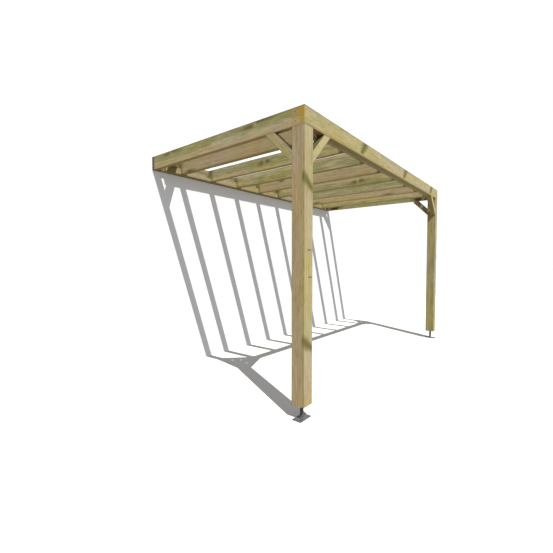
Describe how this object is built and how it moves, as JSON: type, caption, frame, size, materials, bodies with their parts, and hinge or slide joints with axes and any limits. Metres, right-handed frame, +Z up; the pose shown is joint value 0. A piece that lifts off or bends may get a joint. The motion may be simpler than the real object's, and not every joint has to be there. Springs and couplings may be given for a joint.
{
  "type": "lean-to pergola",
  "caption": "Flat timber pergola roof frame for a house wall, with parallel rafters on ledger strips and braced corners, carried at the front on two braced square posts with round-stemmed steel feet.",
  "frame": {"origin": "middle of the wall plate's back face, which lies on the wall", "axes": "+X along the wall to the right seen from the garden, +Y into the wall, +Z up; the ground is at z = -2.3725 m"},
  "size_m": [3.935, 2.09, 2.445],
  "materials": {
    "roof_boards": "planed pressure-treated softwood, dull, greenish brown",
    "posts": "planed pressure-treated softwood, dull, straw-coloured",
    "braces": "planed pressure-treated softwood, dull, pale",
    "feet": "dark grey coated steel, satin"
  },
  "bodies": {
    "root": {"wall_plate": "roof_boards", "front_beam": "roof_boards", "ledger_strip_front": "roof_boards", "ledger_strip_rear": "roof_boards", "side_joist_left": "roof_boards", "side_joist_right": "roof_boards", "rafter_1": "roof_boards", "rafter_2": "roof_boards", "rafter_3": "roof_boards", "rafter_4": "roof_boards", "rafter_5": "roof_boards", "rafter_6": "roof_boards", "rafter_7": "roof_boards", "rafter_8": "roof_boards", "post_left": "posts", "post_right": "posts", "front_brace_left": "braces", "front_brace_right": "braces", "side_brace_left": "braces", "side_brace_right": "braces", "roof_brace_front_left": "braces", "roof_brace_front_right": "braces", "roof_brace_rear_left": "braces", "roof_brace_rear_right": "braces", "foot_plate_left": "feet", "foot_plate_right": "feet", "foot_stem_left": "feet", "foot_stem_right": "feet"}
  },
  "joints": []
}
